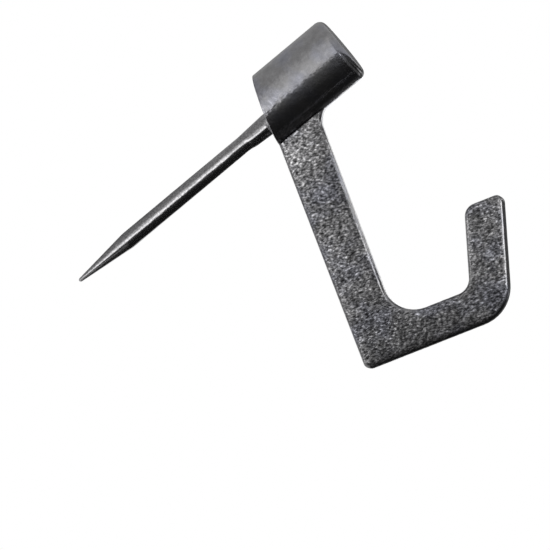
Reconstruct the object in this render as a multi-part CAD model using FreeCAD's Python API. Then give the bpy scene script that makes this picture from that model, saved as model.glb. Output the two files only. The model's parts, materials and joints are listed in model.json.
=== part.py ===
"""Picture hook: a cast hook with a round striking head, and the hardened nail set in that head.

The wall's surface is the plane X = 0 and +X points away from it. Z is up and Y runs through the thickness.
The origin is on the hook's wall edge, level with the seat that the picture's wire rests on.
All sizes are in millimetres and degrees.
"""
import FreeCAD, Part
import math
import os

os.makedirs("parts", exist_ok=True)

Vec = FreeCAD.Vector

# Flat hook plate
PLATE_THICKNESS = 2.0
RIM_ROUND = 0.42
SHANK_WIDTH = 4.55
SHANK_TOP_WIDTH = 4.72
FOOT_HEIGHT = 3.69
TIP_TOP = 7.77
TIP_LEAN = 17.4
TIP_WIDTH = 4.16
SEAT_LENGTH = 7.9

# Rounded corners of the plate's outline
HEEL_ROUND = 0.7
TOE_ROUND = 4.0
TIP_OUTER_ROUND = 0.75
TIP_INNER_ROUND = 1.35
SEAT_TIP_ROUND = 1.6
SEAT_SHANK_ROUND = 3.2
NECK_ROUND = 2.0

# Round striking head: its axis runs parallel to the nail, above it
NAIL_SLOPE = 18.0
NAIL_HEIGHT = 22.93
HEAD_RADIUS = 3.6
HEAD_RISE = 1.07
HEAD_LENGTH = 10.0
HEAD_ROUND = 0.8
NECK_BITE = 0.1

# Nail
NAIL_RADIUS = 0.875
NAIL_REACH = 24.95
POINT_LENGTH = 6.3
POINT_END_RADIUS = 0.2
ROOT_RADIUS = 1.05
ROOT_COLLAR = 0.45
ROOT_LENGTH = 3.6
NAIL_DEPTH = 7.5

# Directions along the nail and head, away from the wall, and square to them in the plate's plane
slope = math.radians(NAIL_SLOPE)
ALONG = Vec(math.cos(slope), 0, math.sin(slope))
ACROSS = Vec(-math.sin(slope), 0, math.cos(slope))
NAIL_ENTRY = Vec(0, 0, NAIL_HEIGHT)
HEAD_ENTRY = NAIL_ENTRY + Vec(0, 0, HEAD_RISE / math.cos(slope))
Y_AXIS = Vec(0, 1, 0)
FULL_TURN = 360


def at_height(point, direction, z):
    """Point where the line through point along direction reaches height z."""
    return point + direction * ((z - point.z) / direction.z)


def rounded_outline(corners):
    """Closed wire through corners given as (point, radius), each rounded by a tangent arc."""
    count = len(corners)
    arcs = []
    for index, (point, radius) in enumerate(corners):
        back = (corners[index - 1][0] - point).normalize()
        ahead = (corners[(index + 1) % count][0] - point).normalize()
        if radius == 0:
            arcs.append((point, None, point))
            continue
        half = back.getAngle(ahead) / 2
        run = radius / math.tan(half)
        middle = (back + ahead).normalize()
        mid = point + middle * (radius / math.sin(half) - radius)
        arcs.append((point + back * run, mid, point + ahead * run))
    edges = []
    for index, (start, mid, end) in enumerate(arcs):
        if mid is not None:
            edges.append(Part.Arc(start, mid, end).toShape())
        edges.append(Part.makeLine(end, arcs[(index + 1) % count][0]))
    return Part.Wire(edges)


def hook_plate():
    """Shank, foot and leaning tip, with the top of the shank reaching up inside the head."""
    lean = math.radians(TIP_LEAN)
    tip_rise = Vec(math.sin(lean), 0, math.cos(lean))
    seat_end = Vec(SHANK_WIDTH + SEAT_LENGTH, 0, 0)
    outer_end = seat_end + Vec(TIP_WIDTH, 0, 0)
    neck_line = HEAD_ENTRY - ACROSS * (HEAD_RADIUS - NECK_BITE)
    neck = neck_line + ALONG * ((SHANK_TOP_WIDTH - neck_line.x) / ALONG.x)
    neck_end = neck + ALONG * NECK_ROUND
    corners = [
        (Vec(0, 0, -FOOT_HEIGHT), HEEL_ROUND),
        (at_height(outer_end, tip_rise, -FOOT_HEIGHT), TOE_ROUND),
        (at_height(outer_end, tip_rise, TIP_TOP), TIP_OUTER_ROUND),
        (at_height(seat_end, tip_rise, TIP_TOP), TIP_INNER_ROUND),
        (seat_end, SEAT_TIP_ROUND),
        (Vec(SHANK_WIDTH, 0, 0), SEAT_SHANK_ROUND),
        (neck, NECK_ROUND),
        (neck_end, 0),
        (neck_end + ACROSS * (HEAD_RADIUS - NECK_BITE), 0),
        (HEAD_ENTRY, 0),
    ]
    face = Part.Face(rounded_outline(corners))
    face.translate(Y_AXIS * (-PLATE_THICKNESS / 2))
    plate = face.extrude(Y_AXIS * PLATE_THICKNESS)
    return plate.makeFillet(RIM_ROUND, rim_edges(plate))


def head_distance(point):
    """Distance of a point from the head's axis, measured in the plate's plane."""
    return abs((point - HEAD_ENTRY).dot(ACROSS))


def rim_edges(plate):
    """Edges round both faces of the plate, without the two sides buried in the head."""
    buried = HEAD_RADIUS - 2 * NECK_BITE
    rims = []
    for edge in plate.Edges:
        ends = [vertex.Point for vertex in edge.Vertexes]
        if abs(ends[0].y - ends[-1].y) > RIM_ROUND:
            continue
        if head_distance(edge.CenterOfMass) > buried:
            rims.append(edge)
    return rims


def striking_head():
    """Solid round head, cut off flush with the wall and rounded at the end that the hammer strikes."""
    start = HEAD_ENTRY - ALONG * HEAD_RADIUS
    bar = Part.makeCylinder(HEAD_RADIUS, HEAD_RADIUS + HEAD_LENGTH, start, ALONG)
    struck = HEAD_ENTRY + ALONG * HEAD_LENGTH
    rim = min(bar.Edges, key=lambda edge: (edge.CenterOfMass - struck).Length)
    bar = bar.makeFillet(HEAD_ROUND, [rim])
    room = 4 * (HEAD_LENGTH + HEAD_RADIUS)
    beyond_wall = Part.makeBox(room, room, room, HEAD_ENTRY - Vec(room, room / 2, room / 2))
    return bar.cut(beyond_wall)


def nail():
    """Nail turned about its own axis: buried end, thicker root, plain shank and long point."""
    outward = ALONG * -1

    def station(distance, radius):
        return NAIL_ENTRY + outward * distance + ACROSS * radius

    ball = NAIL_REACH - POINT_END_RADIUS
    shoulder = NAIL_REACH - POINT_LENGTH
    slant = math.hypot(ball - shoulder, NAIL_RADIUS)
    taper = math.atan2(NAIL_RADIUS, ball - shoulder) - math.asin(POINT_END_RADIUS / slant)

    def on_ball(angle):
        return station(ball + POINT_END_RADIUS * math.sin(angle), POINT_END_RADIUS * math.cos(angle))

    tip = station(NAIL_REACH, 0)
    points = [
        station(-NAIL_DEPTH, 0),
        station(-NAIL_DEPTH, ROOT_RADIUS),
        station(ROOT_COLLAR, ROOT_RADIUS),
        station(ROOT_LENGTH, NAIL_RADIUS),
        station(shoulder, NAIL_RADIUS),
        on_ball(taper),
    ]
    edges = [Part.makeLine(start, end) for start, end in zip(points, points[1:])]
    edges.append(Part.Arc(on_ball(taper), on_ball((taper + math.pi / 2) / 2), tip).toShape())
    edges.append(Part.makeLine(tip, points[0]))
    return Part.Face(Part.Wire(edges)).revolve(NAIL_ENTRY, ALONG, FULL_TURN)


def hook_body():
    """Plate and head as one casting, with the socket that the nail fills."""
    socket_mouth = NAIL_ENTRY - ALONG * HEAD_RADIUS
    socket = Part.makeCylinder(ROOT_RADIUS, HEAD_RADIUS + NAIL_DEPTH, socket_mouth, ALONG)
    return striking_head().fuse(hook_plate()).removeSplitter().cut(socket)


hook_body().exportStep("parts/hook_body.step")
nail().exportStep("parts/nail.step")
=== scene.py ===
import json
import math

import bpy
import numpy as np
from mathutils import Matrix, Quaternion, Vector, noise
from mathutils.kdtree import KDTree


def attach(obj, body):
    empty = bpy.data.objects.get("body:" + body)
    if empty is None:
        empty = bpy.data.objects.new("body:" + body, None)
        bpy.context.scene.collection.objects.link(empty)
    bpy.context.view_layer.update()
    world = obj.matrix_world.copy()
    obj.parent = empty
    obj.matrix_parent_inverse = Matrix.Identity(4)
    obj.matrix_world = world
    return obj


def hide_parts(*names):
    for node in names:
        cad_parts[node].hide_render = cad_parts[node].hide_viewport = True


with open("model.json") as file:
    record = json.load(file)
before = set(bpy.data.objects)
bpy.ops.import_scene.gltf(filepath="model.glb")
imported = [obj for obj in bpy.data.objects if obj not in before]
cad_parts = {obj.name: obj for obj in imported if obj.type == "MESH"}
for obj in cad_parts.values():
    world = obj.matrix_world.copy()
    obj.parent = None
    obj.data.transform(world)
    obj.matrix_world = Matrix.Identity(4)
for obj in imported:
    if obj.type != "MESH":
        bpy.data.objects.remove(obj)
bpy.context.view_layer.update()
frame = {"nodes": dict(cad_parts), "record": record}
scene = bpy.context.scene

MM = 0.001

# The record's mounts, directions along the head, across it and out of the plate, and the head's outer end
mounts = {mount["name"]: mount for mount in frame["record"]["mounts"]}
ALONG = Vector(mounts["strike_face"]["axis"]).normalized()
ACROSS = Vector((-ALONG.z, 0, ALONG.x))
TOWARDS_VIEW = Vector((0, -1, 0))
HEAD_END = Vector(mounts["strike_face"]["pos_m"])

# Camera: a long lens aimed beside the plate's mid-plane and turned about its own axis, in degrees
VIEW_TARGET = Vector((-5.10, -0.22, 8.50)) * MM
VIEW_AZIMUTH = 7.12
VIEW_ELEVATION = -5.59
VIEW_ROLL = 21.0
VIEW_DISTANCE = 475.0 * MM
VIEW_FIELD = 54.55 * MM
SENSOR_WIDTH = 36.0
CLIP_START = VIEW_DISTANCE / 10
CLIP_END = VIEW_DISTANCE * 100

# Cast body: cell of its fine mesh, sizes of the solid that it replaces, and what counts as a flat
BODY_CELL = 0.105 * MM
PLATE_HALF = 1.0 * MM
HEAD_RADIUS = 3.6 * MM
HEAD_ROUND = 0.8 * MM
FLAT_NORMAL = 0.98
FLAT_DEPTH = 0.01 * MM

# Worn roll-off of the plate's flats towards their rims
ROLL_WIDTH = 0.9 * MM
ROLL_DEPTH = 0.05 * MM

# Grain on the plate: specks that lie one way, with smaller ones among them
GRAIN_SIZE = 0.16 * MM
GRAIN_STRETCH = 2.2
GRAIN_LAY = math.radians(-21.0)
GRAIN_HEIGHT = 0.016 * MM
SMALL_GRAIN_SHARE = 0.5
SMALL_GRAIN_SCALE = 1.9
SMALL_GRAIN_SHIFT = Vector((7.3, 1.7, 4.1))

# Amount of grain: from the rims to the flats by the Y of the normal, and round the rims by its X
GRAIN_NORMALS = (0.9, 0.99)
RIM_NORMALS = (-0.7, -0.2, 0.06, 0.45)
RIM_GRAIN = (0.6, 0.85, 0.85, 0.12)

# Tone of the grain about the middle of its range: shares of its specks and of finer ones, and soft clouds
RANGE_MIDDLE = 0.5
GRAIN_SHARE = 0.38
FINE_SHARE = 1.05
FINE_STRETCH = 1.8
CLOUD_SIZE = 1.6 * MM
CLOUD_SHARE = 0.06

# Painted light and shade in the grain's tone: a lighter neck, a highlight along the wall edge, a lighter tip
# and a darker middle of the shank
# Painted light: the shank is lighter just under the head, fading downwards
PAINTED_NECK_LIGHT = 0.09
PAINTED_NECK_LIGHT_FADE = 5.0 * MM
# Painted highlight along the plate's wall-side edge, fading down the shank
PAINTED_EDGE_HIGHLIGHT = 0.08
PAINTED_EDGE_HIGHLIGHT_WIDTH = 0.7 * MM
PAINTED_EDGE_HIGHLIGHT_FADE = 12.0 * MM
# Painted light: the hook's tip is lighter, fading with distance from it
PAINTED_TIP_LIGHT = 0.075
PAINTED_TIP_LIGHT_PLACE = Vector((15.0, 0.0, 2.6)) * MM
PAINTED_TIP_LIGHT_SPREAD = 5.2 * MM
# Painted shade: a darker band across the middle of the shank
PAINTED_MIDDLE_SHADE = 0.1
PAINTED_MIDDLE_SHADE_PLACE = 6.8 * MM
PAINTED_MIDDLE_SHADE_SPREAD = 3.6 * MM

# Noises of the metals, as size, detail and roughness
FINE_NOISE = (0.13 * MM, 1.0, 0.5)
ROUND_NOISE = (0.7 * MM, 4.0, 0.7)
DENT_NOISE = (0.5 * MM, 2.0, 0.5)
BLUE_NOISE = (2.5 * MM, 3.0, 0.5)
STEEL_NOISE = (0.2 * MM, 3.0, 0.7)

# Cast metal: reflectance from the grain's pits to its worn high spots, and that of the smooth rounds
METAL_TINT = (1.0, 0.99, 1.01)
SPECK_STOPS = [(0.1, 0.016), (0.3, 0.046), (0.5, 0.125), (0.65, 0.235), (0.8, 0.43), (0.95, 0.8)]
ROUND_STOPS = [(0.3, 0.27), (0.7, 0.38)]
BLUE_TINT = (0.95, 0.97, 1.06, 1)
BLUE_STOPS = [(0.45, 0.0), (0.65, 1.0)]
ROUND_ROUGHNESS = 0.2
GRAIN_ROUGHNESS = 0.38
DENT_BUMP = 0.03 * MM
FINE_BUMP = 0.02 * MM

# Steel of the nail
STEEL_STOPS = [(0.3, 0.18), (0.7, 0.48)]
STEEL_ROUGHNESS = 0.2
STEEL_BUMP = 0.004 * MM

# Nail: sizes of the solid that it replaces
NAIL_DEPTH = 7.5 * MM
NAIL_RADIUS = mounts["nail_shank"]["dims"]["r_mm"] * MM
ROOT_RADIUS = 1.05 * MM
ROOT_COLLAR = 0.45 * MM
ROOT_LENGTH = 3.6 * MM
POINT_LENGTH = 6.3 * MM
POINT_END_RADIUS = 0.2 * MM

# Nail: lump of metal under its root, unevenness of its skin, and steps of its mesh
LUMP_HEIGHT = 0.1 * MM
LUMP_END = (2.4 * MM, 3.3 * MM)
LUMP_ANGLES = (math.radians(-25.0), math.radians(15.0))
SKIN_DEPTH = 0.01 * MM
SKIN_LENGTH = 1.1 * MM
SKIN_WIDTH = 0.3 * MM
NAIL_RING = 0.1 * MM
NAIL_SIDES = 72
BALL_RINGS = 8

# Floor and surroundings
FLOOR_HEIGHT = -420.0 * MM
FLOOR_HALF = 4000.0 * MM
FLOOR_COLOUR = (0.95, 0.95, 0.95, 1)
WORLD_COLOUR = (1, 1, 1, 1)
WORLD_STRENGTH = 1.0

# Light rig: plain glowing cards that only the object's reflections show. All its lengths are in millimetres.
# Its trough of dark cards lies under the head, measured along the head's axis from the head's outer end.
TROUGH_LEFT = -58.0
TROUGH_RIGHT = 14.0
TROUGH_REACH = 50.0
TROUGH_DEPTH = 60.0
TROUGH_GLOW = 0.016
RIGHT_BED_END = 80.0
RIGHT_BED_GLOW = 0.13
BACK_WALL_TOP = -36.0
BACK_WALL_GLOW = 0.07

# Front of the trough: bands in degrees below the line of sight, and a low wall to the right of them
FRONT_BANDS = [(4, 10, 0.12), (10, 20, 0.07), (20, 30, 0.038), (30, 43, 0.02)]
FRONT_BANDS_END = 9.0
LOW_WALL_END = 60.0
LOW_WALL_SPAN = (-30.0, -7.0)

# Canopies over the head and over the nail: strips in degrees up from the line of sight
CANOPY_RADIUS = 150.0
HEAD_CANOPY_ENDS = (-30.0, 250.0)
HEAD_CANOPY = [
    (24, 36, 0.88),
    (36, 46, 0.84),
    (46, 57, 0.7),
    (57, 68, 0.57),
    (68, 150, 0.49),
    (150, 180, 0.4),
]
NAIL_CANOPY_ENDS = (-90.0, -30.0)
NAIL_CANOPY = [(24, 68, 0.42), (68, 110, 0.32), (110, 150, 0.24), (150, 180, 0.18)]

# Strips in front of the nail: spans up from the line of sight
NAIL_STRIP_ENDS = (-52.0, -15.0)
NAIL_STRIPS = [(-6.0, 17.0, 2.6), (17.0, 35.0, 1.1), (35.0, 110.0, 0.4)]

# Cards square to X, Y or Z round the hook: two opposite corners and a glow. Back and front ones share a Y.
CARD_GAP = 1.0
BACK_Y = TROUGH_REACH - CARD_GAP
FRONT_Y = -(TROUGH_REACH + CARD_GAP)
REACH_Y = TROUGH_REACH
CARDS = {
    "left_card": ((-150.0, -140.0, -60.0), (-150.0, 60.0, 70.0), 0.45),
    "back_low": ((-10.0, BACK_Y, -14.0), (90.0, BACK_Y, 4.0), 0.08),
    "back_bright": ((-6.0, BACK_Y, 4.0), (14.0, BACK_Y, 27.0), 1.9),
    "back_dark": ((14.0, BACK_Y, 4.0), (42.0, BACK_Y, 14.0), 0.08),
    "back_right": ((14.0, BACK_Y, 14.0), (75.0, BACK_Y, 27.0), 0.45),
    "back_top_left": ((-6.0, BACK_Y, 27.0), (9.5, BACK_Y, 52.0), 0.4),
    "back_top_dark": ((9.5, BACK_Y, 27.0), (20.0, BACK_Y, 52.0), 0.1),
    "back_top_right": ((20.0, BACK_Y, 27.0), (75.0, BACK_Y, 52.0), 0.4),
    "front_soft": ((17.0, FRONT_Y, -7.0), (27.0, FRONT_Y, 18.0), 0.8),
    "front_bright": ((27.0, FRONT_Y, -7.0), (70.0, FRONT_Y, 18.0), 3.6),
    "front_top": ((17.0, FRONT_Y, 18.0), (70.0, FRONT_Y, 70.0), 0.5),
    "right_low": ((90.0, -REACH_Y, -30.0), (90.0, REACH_Y, 12.0), 0.11),
    "right_bright": ((90.0, -REACH_Y, 12.0), (90.0, REACH_Y, 31.0), 1.7),
    "right_top": ((90.0, -REACH_Y, 31.0), (90.0, REACH_Y, 90.0), 0.28),
    "head_flag_dark": ((24.0, -REACH_Y, 21.0), (24.0, REACH_Y, 28.0), 0.03),
    "head_flag_soft": ((24.0, -REACH_Y, 28.0), (24.0, REACH_Y, 60.0), 0.55),
    "tip_card": ((58.0, -110.0, -18.0), (58.0, -32.0, 3.0), 3.4),
    "tip_shelf": ((30.0, -110.0, 8.5), (58.0, 20.0, 8.5), TROUGH_GLOW),
    "front_shelf": ((15.0, FRONT_Y, 14.5), (75.0, -8.0, 14.5), TROUGH_GLOW),
    "shelf_underside": ((15.0, FRONT_Y, 14.0), (75.0, -8.0, 14.0), 0.6),
}


def view_direction():
    """Unit vector from the view's target to the camera."""
    azimuth = math.radians(VIEW_AZIMUTH)
    elevation = math.radians(VIEW_ELEVATION)
    level = math.cos(elevation)
    return Vector((math.sin(azimuth) * level, -math.cos(azimuth) * level, math.sin(elevation)))


def camera():
    """Long lens at the photograph's angle, turned by the photograph's roll."""
    data = bpy.data.cameras.new("camera")
    data.sensor_width = SENSOR_WIDTH
    data.lens = SENSOR_WIDTH * VIEW_DISTANCE / VIEW_FIELD
    data.clip_start = CLIP_START
    data.clip_end = CLIP_END
    eye = linked("camera", data)
    eye.location = VIEW_TARGET + view_direction() * VIEW_DISTANCE
    eye.rotation_mode = "QUATERNION"
    level = (-view_direction()).to_track_quat("-Z", "Y")
    eye.rotation_quaternion = level @ Quaternion((0, 0, 1), math.radians(-VIEW_ROLL))
    scene.camera = eye


def linked(name, data):
    """Object of a mesh or camera, linked to the scene."""
    piece = bpy.data.objects.new(name, data)
    scene.collection.objects.link(piece)
    return piece


def smooth_step(start, end, value):
    """Zero before start, one after end and an even curve between them."""
    share = np.clip((value - start) / (end - start), 0, 1)
    return share * share * (3 - 2 * share)


def new_material(name):
    """Node material, its node tree and the shader that its output takes."""
    material = bpy.data.materials.new(name)
    material.use_nodes = True
    tree = material.node_tree
    shader = tree.nodes["Principled BSDF"]
    return material, tree, shader


def object_place(tree):
    """Place on the object, for the textures."""
    return tree.nodes.new("ShaderNodeTexCoord").outputs["Object"]


def noise_node(tree, place, size, detail, roughness):
    """Noise texture whose features are about size metres wide."""
    node = tree.nodes.new("ShaderNodeTexNoise")
    node.inputs["Scale"].default_value = 1 / size
    node.inputs["Detail"].default_value = detail
    node.inputs["Roughness"].default_value = roughness
    tree.links.new(place, node.inputs["Vector"])
    return node.outputs["Fac"]


def ramp(tree, value, stops):
    """Colour ramp through stops given as (position, level) of the metal's own tint."""
    node = tree.nodes.new("ShaderNodeValToRGB")
    elements = node.color_ramp.elements
    while len(elements) < len(stops):
        elements.new(RANGE_MIDDLE)
    for element, (position, level) in zip(elements, stops):
        element.position = position
        element.color = tuple(level * tint for tint in METAL_TINT) + (1,)
    tree.links.new(value, node.inputs["Fac"])
    return node.outputs["Color"]


def bump(tree, height, distance, normal=None):
    """Bump node that raises height by distance, over another bump's normal if there is one."""
    node = tree.nodes.new("ShaderNodeBump")
    node.inputs["Strength"].default_value = 1.0
    node.inputs["Distance"].default_value = distance
    tree.links.new(height, node.inputs["Height"])
    if normal is not None:
        tree.links.new(normal, node.inputs["Normal"])
    return node.outputs["Normal"]


def attribute(tree, name):
    """Value that the mesh carries at each point."""
    node = tree.nodes.new("ShaderNodeAttribute")
    node.attribute_name = name
    return node.outputs["Fac"]


def mixed(tree, share, first, second):
    """Colour that goes from first to second as share goes from 0 to 1."""
    node = tree.nodes.new("ShaderNodeMix")
    node.data_type = "RGBA"
    tree.links.new(share, node.inputs["Factor"])
    tree.links.new(first, node.inputs["A"])
    tree.links.new(second, node.inputs["B"])
    return node.outputs["Result"]


def product(tree, first, second):
    """Two values multiplied."""
    node = tree.nodes.new("ShaderNodeMath")
    node.operation = "MULTIPLY"
    tree.links.new(first, node.inputs[0])
    tree.links.new(second, node.inputs[1])
    return node.outputs["Value"]


def fine_specks(tree, place):
    """Noise of the finest specks, stretched along the grain's lay."""
    lay = tree.nodes.new("ShaderNodeMapping")
    lay.inputs["Rotation"].default_value = (0, GRAIN_LAY, 0)
    lay.inputs["Scale"].default_value = (1 / FINE_STRETCH, 1, 1)
    tree.links.new(place, lay.inputs["Vector"])
    return noise_node(tree, lay.outputs["Vector"], *FINE_NOISE)


def speck_colour(tree, fine):
    """Colour of the grain over its tone, which also holds painted light and shade, and its finest specks."""
    height = tree.nodes.new("ShaderNodeMath")
    height.operation = "MULTIPLY_ADD"
    height.inputs[1].default_value = FINE_SHARE
    tree.links.new(fine, height.inputs[0])
    tree.links.new(attribute(tree, "grain_tone_and_painted_light"), height.inputs[2])
    return ramp(tree, height.outputs["Value"], SPECK_STOPS)


def blued(tree, place, metal):
    """Colour of the metal with faint blue patches."""
    patches = ramp(tree, noise_node(tree, place, *BLUE_NOISE), BLUE_STOPS)
    node = tree.nodes.new("ShaderNodeMix")
    node.data_type = "RGBA"
    node.blend_type = "MULTIPLY"
    node.inputs["B"].default_value = BLUE_TINT
    tree.links.new(patches, node.inputs["Factor"])
    tree.links.new(metal, node.inputs["A"])
    return node.outputs["Result"]


def cast_roughness(tree, grain):
    """Roughness that goes from the smooth rounds to the grainy flats."""
    node = tree.nodes.new("ShaderNodeMapRange")
    node.inputs["To Min"].default_value = ROUND_ROUGHNESS
    node.inputs["To Max"].default_value = GRAIN_ROUGHNESS
    tree.links.new(grain, node.inputs["Value"])
    return node.outputs["Result"]


def cast_metal():
    """Dark tumbled casting: flats with bright high spots, dark pits and painted light and shade in their
    tone, and smoother rounds.
    """
    material, tree, shader = new_material("cast_metal")
    place = object_place(tree)
    grain = attribute(tree, "grain")
    fine = fine_specks(tree, place)
    rounds = ramp(tree, noise_node(tree, place, *ROUND_NOISE), ROUND_STOPS)
    metal = mixed(tree, grain, rounds, speck_colour(tree, fine))
    dented = bump(tree, noise_node(tree, place, *DENT_NOISE), DENT_BUMP)
    grained = bump(tree, product(tree, fine, grain), FINE_BUMP, dented)
    shader.inputs["Metallic"].default_value = 1.0
    tree.links.new(blued(tree, place, metal), shader.inputs["Base Color"])
    tree.links.new(cast_roughness(tree, grain), shader.inputs["Roughness"])
    tree.links.new(grained, shader.inputs["Normal"])
    return material


def nail_steel():
    """Drawn and hardened steel with a faint mottle."""
    material, tree, shader = new_material("nail_steel")
    mottle = noise_node(tree, object_place(tree), *STEEL_NOISE)
    shader.inputs["Metallic"].default_value = 1.0
    shader.inputs["Roughness"].default_value = STEEL_ROUGHNESS
    tree.links.new(ramp(tree, mottle, STEEL_STOPS), shader.inputs["Base Color"])
    tree.links.new(bump(tree, mottle, STEEL_BUMP), shader.inputs["Normal"])
    return material


def evaluated_mesh(piece):
    """New mesh of a piece with its modifiers applied."""
    graph = bpy.context.evaluated_depsgraph_get()
    return bpy.data.meshes.new_from_object(piece.evaluated_get(graph))


def fine_copy(node, name, cell):
    """Copy of a CAD node's surface as an even mesh of small cells that lies on that surface."""
    source = frame["nodes"][node]
    piece = linked(name, source.data.copy())
    cells = piece.modifiers.new("cells", "REMESH")
    cells.mode = "VOXEL"
    cells.voxel_size = cell
    seat = piece.modifiers.new("seat", "SHRINKWRAP")
    seat.target = source
    seat.wrap_method = "NEAREST_SURFACEPOINT"
    piece.data = evaluated_mesh(piece)
    piece.modifiers.clear()
    piece.data.shade_smooth()
    return piece


def vertex_places(mesh):
    """Places of a mesh's vertices as rows."""
    rows = np.zeros(len(mesh.vertices) * 3, np.float32)
    mesh.vertices.foreach_get("co", rows)
    return rows.reshape(-1, 3)


def vertex_normals(mesh):
    """Normals of a mesh's vertices as rows."""
    rows = np.zeros(len(mesh.vertices) * 3, np.float32)
    mesh.vertex_normals.foreach_get("vector", rows)
    return rows.reshape(-1, 3)


def roll_off(places, facing, plate):
    """How far the plate's worn flats and rims sink: most where a flat meets its rim."""
    flat = plate & (np.abs(places[:, 1]) > PLATE_HALF - FLAT_DEPTH) & (facing > FLAT_NORMAL)
    rim = np.flatnonzero(plate & ~flat)
    tree = KDTree(len(rim))
    for index in rim:
        tree.insert(Vector(places[index]), int(index))
    tree.balance()
    sink = ROLL_DEPTH * facing ** 2 * plate
    for index in np.flatnonzero(flat):
        distance = tree.find(Vector(places[index]))[2]
        sink[index] = ROLL_DEPTH * max(0.0, 1 - distance / ROLL_WIDTH) ** 2
    return sink


def grain_amount(normals, facing, plate):
    """Share of the full grain at each vertex: all of it on the plate's flats, less on its rims."""
    rim = np.interp(normals[:, 0], RIM_NORMALS, RIM_GRAIN)
    share = rim + (1 - rim) * smooth_step(*GRAIN_NORMALS, facing)
    return (plate * share).astype(np.float32)


def grain_height(place):
    """Height of the grain at a point, about -1 to 1, in specks that lie one way."""
    x, y, z = place / GRAIN_SIZE
    lay = (x * math.cos(GRAIN_LAY) + z * math.sin(GRAIN_LAY)) / GRAIN_STRETCH
    rise = z * math.cos(GRAIN_LAY) - x * math.sin(GRAIN_LAY)
    point = Vector((lay, y, rise))
    small = noise.noise(point * SMALL_GRAIN_SCALE + SMALL_GRAIN_SHIFT)
    return noise.noise(point) + SMALL_GRAIN_SHARE * small


def clouds_and_painted_light(place, below_head):
    """How much clouds, painted light and painted shade lighten or darken the grain at a place."""
    edge = place.x / PAINTED_EDGE_HIGHLIGHT_WIDTH + below_head / PAINTED_EDGE_HIGHLIGHT_FADE
    from_tip = (place - PAINTED_TIP_LIGHT_PLACE).length / PAINTED_TIP_LIGHT_SPREAD
    from_middle = (below_head - PAINTED_MIDDLE_SHADE_PLACE) / PAINTED_MIDDLE_SHADE_SPREAD
    shift = CLOUD_SHARE * noise.noise(place / CLOUD_SIZE)
    # Painted light at the neck, fading down the shank
    shift += PAINTED_NECK_LIGHT * math.exp(-below_head / PAINTED_NECK_LIGHT_FADE)
    # Painted highlight along the wall-side edge
    shift += PAINTED_EDGE_HIGHLIGHT * math.exp(-edge)
    # Painted light on the tip
    shift += PAINTED_TIP_LIGHT * math.exp(-from_tip ** 2)
    # Painted shade across the shank's middle
    shift -= PAINTED_MIDDLE_SHADE * math.exp(-from_middle ** 2)
    return shift


def head_normals(places, normals, head):
    """Normals of the mesh, made exact on the head's round side and on the rounding of its struck end."""
    exact = normals.copy()
    axis = np.array(ALONG)
    offset = places - np.array(HEAD_END)
    along = offset @ axis
    spoke = offset - along[:, None] * axis
    radius = np.maximum(np.linalg.norm(spoke, axis=1), FLAT_DEPTH)
    outward = spoke / radius[:, None]
    side = head & (radius > HEAD_RADIUS - FLAT_DEPTH) & (places[:, 0] > BODY_CELL / 2)
    exact[side] = outward[side]
    ring = head & (along > -HEAD_ROUND) & (radius > HEAD_RADIUS - HEAD_ROUND)
    turn = (along + HEAD_ROUND)[:, None]
    arc = outward * (radius - HEAD_RADIUS + HEAD_ROUND)[:, None] + turn * axis
    exact[ring] = arc[ring] / np.linalg.norm(arc[ring], axis=1)[:, None]
    return exact


def hook_body():
    """Casting with real grain on the plate's worn flats and rims, and an exact round head."""
    piece = fine_copy("hook_body", "hook_casting", BODY_CELL)
    mesh = piece.data
    places = vertex_places(mesh)
    normals = vertex_normals(mesh)
    facing = np.abs(normals[:, 1])
    below_head = -(places - np.array(HEAD_END)) @ np.array(ACROSS) - HEAD_RADIUS
    plate = (np.abs(places[:, 1]) < PLATE_HALF + FLAT_DEPTH) & (below_head > -FLAT_DEPTH)
    amount = grain_amount(normals, facing, plate)
    sink = roll_off(places, facing, plate)
    grain_tone_and_painted_light = np.full(len(places), RANGE_MIDDLE * (1 - FINE_SHARE), np.float32)
    for index in np.flatnonzero(amount):
        place = Vector(places[index])
        height = grain_height(place)
        # The grain's tone also takes painted light at the neck, the wall edge and the tip, and painted shade
        # across the middle
        grain_tone_and_painted_light[index] += GRAIN_SHARE * height + clouds_and_painted_light(place, below_head[index])
        sink[index] += GRAIN_HEIGHT * amount[index] * (1 - height)
    places -= normals * sink[:, None]
    mesh.vertices.foreach_set("co", places.ravel())
    mesh.update()
    mesh.attributes.new("grain", "FLOAT", "POINT").data.foreach_set("value", amount)
    mesh.attributes.new("grain_tone_and_painted_light", "FLOAT", "POINT").data.foreach_set("value", grain_tone_and_painted_light)
    head = (below_head <= 0) & ~plate
    mesh.normals_split_custom_set_from_vertices(head_normals(places, vertex_normals(mesh), head))
    mesh.materials.clear()
    mesh.materials.append(cast_metal())
    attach(piece, "root")
    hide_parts("hook_body")


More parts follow.
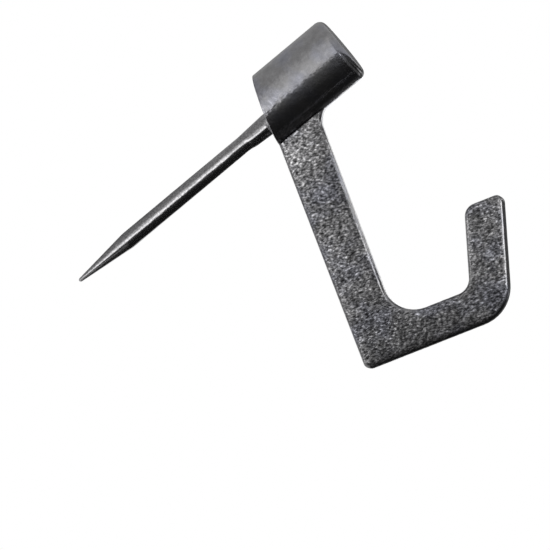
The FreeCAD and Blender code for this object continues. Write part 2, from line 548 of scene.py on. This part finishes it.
def nail_rings(reach):
    """Distances out of the wall edge and radii of the nail's rings, from its buried end to its point."""
    ball = reach - POINT_END_RADIUS
    shoulder = reach - POINT_LENGTH
    slant = math.hypot(ball - shoulder, NAIL_RADIUS)
    taper = math.atan2(NAIL_RADIUS, ball - shoulder) - math.asin(POINT_END_RADIUS / slant)
    cone_end = ball + POINT_END_RADIUS * math.sin(taper)
    stations = [-NAIL_DEPTH, ROOT_COLLAR, ROOT_LENGTH, shoulder, cone_end]
    radii = [ROOT_RADIUS, ROOT_RADIUS, NAIL_RADIUS, NAIL_RADIUS, POINT_END_RADIUS * math.cos(taper)]
    rings = []
    for start, end in zip(stations, stations[1:]):
        steps = math.ceil((end - start) / NAIL_RING)
        places = [start + (end - start) * step / steps for step in range(steps)]
        rings += [(place, float(np.interp(place, stations, radii))) for place in places]
    for step in range(BALL_RINGS):
        turn = taper + (math.pi / 2 - taper) * step / BALL_RINGS
        rings.append((ball + POINT_END_RADIUS * math.sin(turn), POINT_END_RADIUS * math.cos(turn)))
    return rings


def nail_radius(distance, radius, angle):
    """Radius of the nail's uneven skin, with the lump under its root; angle 0 faces out of the plate."""
    around = Vector((distance / SKIN_LENGTH, math.cos(angle), math.sin(angle)))
    around.yz *= radius / SKIN_WIDTH
    skin = SKIN_DEPTH * min(1.0, radius / NAIL_RADIUS) * (noise.noise(around) - 1)
    tilt = math.asin(math.sin(angle))
    lump = 1 - smooth_step(*LUMP_ANGLES, tilt)
    lump *= 1 - smooth_step(*LUMP_END, distance)
    lump *= smooth_step(-ROOT_COLLAR, ROOT_COLLAR, distance)
    return radius + skin + LUMP_HEIGHT * lump * (radius < ROOT_RADIUS)


def tube_faces(ring_count, side_count):
    """Faces of a tube with a point at each end: vertex 0, then the rings, then the last vertex."""
    last = 1 + (ring_count - 1) * side_count
    tip = 1 + ring_count * side_count
    faces = []
    for side in range(side_count):
        following = (side + 1) % side_count
        faces.append((0, 1 + following, 1 + side))
        for ring in range(ring_count - 1):
            near = 1 + ring * side_count
            far = near + side_count
            faces.append((near + side, near + following, far + following, far + side))
        faces.append((last + side, last + following, tip))
    return faces


def nail():
    """Nail turned finely about its own axis, with its drawn skin and the lump under its root."""
    shank = mounts["nail_shank"]
    outward = Vector(shank["axis"]).normalized()
    length = shank["dims"]["length_mm"] * MM
    entry = Vector(shank["pos_m"]) - outward * (length / 2 + ROOT_LENGTH)
    reach = ROOT_LENGTH + length + POINT_LENGTH
    rings = nail_rings(reach)
    points = [entry - outward * NAIL_DEPTH]
    for distance, radius in rings:
        for side in range(NAIL_SIDES):
            angle = 2 * math.pi * side / NAIL_SIDES
            way = TOWARDS_VIEW * math.cos(angle) + ACROSS * math.sin(angle)
            points.append(entry + outward * distance + way * nail_radius(distance, radius, angle))
    points.append(entry + outward * reach)
    mesh = bpy.data.meshes.new("drawn_nail")
    mesh.from_pydata(points, [], tube_faces(len(rings), NAIL_SIDES))
    mesh.shade_smooth()
    mesh.materials.append(nail_steel())
    piece = linked("drawn_nail", mesh)
    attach(piece, "root")
    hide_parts("nail")


def surroundings():
    """Even white world."""
    scene.world = bpy.data.worlds.new("studio")
    scene.world.use_nodes = True
    background = scene.world.node_tree.nodes["Background"]
    background.inputs["Color"].default_value = WORLD_COLOUR
    background.inputs["Strength"].default_value = WORLD_STRENGTH


def floor():
    """Plain pale floor far below the hook."""
    signs = [(-1, -1), (1, -1), (1, 1), (-1, 1)]
    corners = [(x * FLOOR_HALF, y * FLOOR_HALF, FLOOR_HEIGHT) for x, y in signs]
    mesh = bpy.data.meshes.new("floor")
    mesh.from_pydata(corners, [], [(0, 1, 2, 3)])
    material, _, shader = new_material("floor")
    shader.inputs["Base Color"].default_value = FLOOR_COLOUR
    shader.inputs["Roughness"].default_value = 1.0
    shader.inputs["Specular IOR Level"].default_value = 0.0
    mesh.materials.append(material)
    linked("floor", mesh)


def glow(name, strength):
    """Material that only gives off an even grey light."""
    material, tree, shader = new_material(name)
    tree.nodes.remove(shader)
    emission = tree.nodes.new("ShaderNodeEmission")
    emission.inputs["Strength"].default_value = strength
    tree.links.new(emission.outputs["Emission"], tree.nodes["Material Output"].inputs["Surface"])
    return material


def stage_card(name, corners, strength):
    """Glowing card with four corners in millimetres, seen only in the object's reflections."""
    mesh = bpy.data.meshes.new(name)
    mesh.from_pydata([Vector(corner) * MM for corner in corners], [], [(0, 1, 2, 3)])
    mesh.materials.append(glow(name, strength))
    piece = linked(name, mesh)
    piece.visible_camera = False
    piece.visible_diffuse = False
    piece.visible_transmission = False
    piece.visible_shadow = False


def rig_point(along, out, across):
    """Point in millimetres, measured from the head's outer end."""
    return HEAD_END / MM + ALONG * along + TOWARDS_VIEW * out + ACROSS * across


def axis_card(name, ends, first, second, strength):
    """Card between two ends along the head's axis and two edges given as (out, across)."""
    there = [rig_point(end, *first) for end in ends]
    back = [rig_point(end, *second) for end in reversed(ends)]
    stage_card(name, there + back, strength)


def square_card(name, low, high, strength):
    """Card between two opposite corners that have one coordinate in common."""
    common = [axis for axis in range(3) if low[axis] == high[axis]][0]
    swapped = (common + 1) % 3
    second = list(low)
    second[swapped] = high[swapped]
    fourth = list(high)
    fourth[swapped] = low[swapped]
    stage_card(name, [low, second, high, fourth], strength)


def trough(sight_angle):
    """Dark cards that the head's lower half reflects: front bands, low wall, bed and back wall."""
    for start, end, strength in FRONT_BANDS:
        edges = [TROUGH_REACH * math.tan(sight_angle - math.radians(angle)) for angle in (start, end)]
        first, second = [(TROUGH_REACH, edge) for edge in edges]
        axis_card("front_band", (TROUGH_LEFT, FRONT_BANDS_END), first, second, strength)
    corner = rig_point(FRONT_BANDS_END, TROUGH_REACH, 0)
    low, high = LOW_WALL_SPAN
    square_card("low_wall", (corner.x, corner.y, low), (LOW_WALL_END, corner.y, high), TROUGH_GLOW)
    front = (TROUGH_REACH, -TROUGH_DEPTH)
    back = (-TROUGH_REACH, -TROUGH_DEPTH)
    top = (-TROUGH_REACH, BACK_WALL_TOP)
    axis_card("dark_bed", (TROUGH_LEFT, TROUGH_RIGHT), back, front, TROUGH_GLOW)
    axis_card("right_bed", (TROUGH_RIGHT, RIGHT_BED_END), back, front, RIGHT_BED_GLOW)
    axis_card("back_wall", (TROUGH_LEFT, TROUGH_RIGHT), top, back, BACK_WALL_GLOW)


def canopy(strips, ends, sight_angle):
    """Arched strips over the hook, lightest in front and darkest behind."""
    for start, end, strength in strips:
        turns = [sight_angle + math.radians(angle) for angle in (start, end)]
        first, second = [(CANOPY_RADIUS * math.cos(turn), CANOPY_RADIUS * math.sin(turn)) for turn in turns]
        axis_card("canopy", ends, first, second, strength)


def nail_strips(sight):
    """Bright strip for the nail's long highlight, and softer ones above it."""
    out = TROUGH_REACH - CARD_GAP
    for low, high, strength in NAIL_STRIPS:
        axis_card("nail_strip", NAIL_STRIP_ENDS, (out, sight + low), (out, sight + high), strength)


def light_rig():
    """All cards of the rig; those along the head follow the line of sight from the head to the camera."""
    to_camera = view_direction()
    sight_slope = to_camera.dot(ACROSS) / to_camera.dot(TOWARDS_VIEW)
    sight_angle = math.atan(sight_slope)
    trough(sight_angle)
    canopy(HEAD_CANOPY, HEAD_CANOPY_ENDS, sight_angle)
    canopy(NAIL_CANOPY, NAIL_CANOPY_ENDS, sight_angle)
    nail_strips(TROUGH_REACH * sight_slope)
    for name, (low, high, strength) in CARDS.items():
        square_card(name, low, high, strength)


scene.view_settings.view_transform = "Standard"
camera()
hook_body()
nail()
surroundings()
floor()
light_rig()
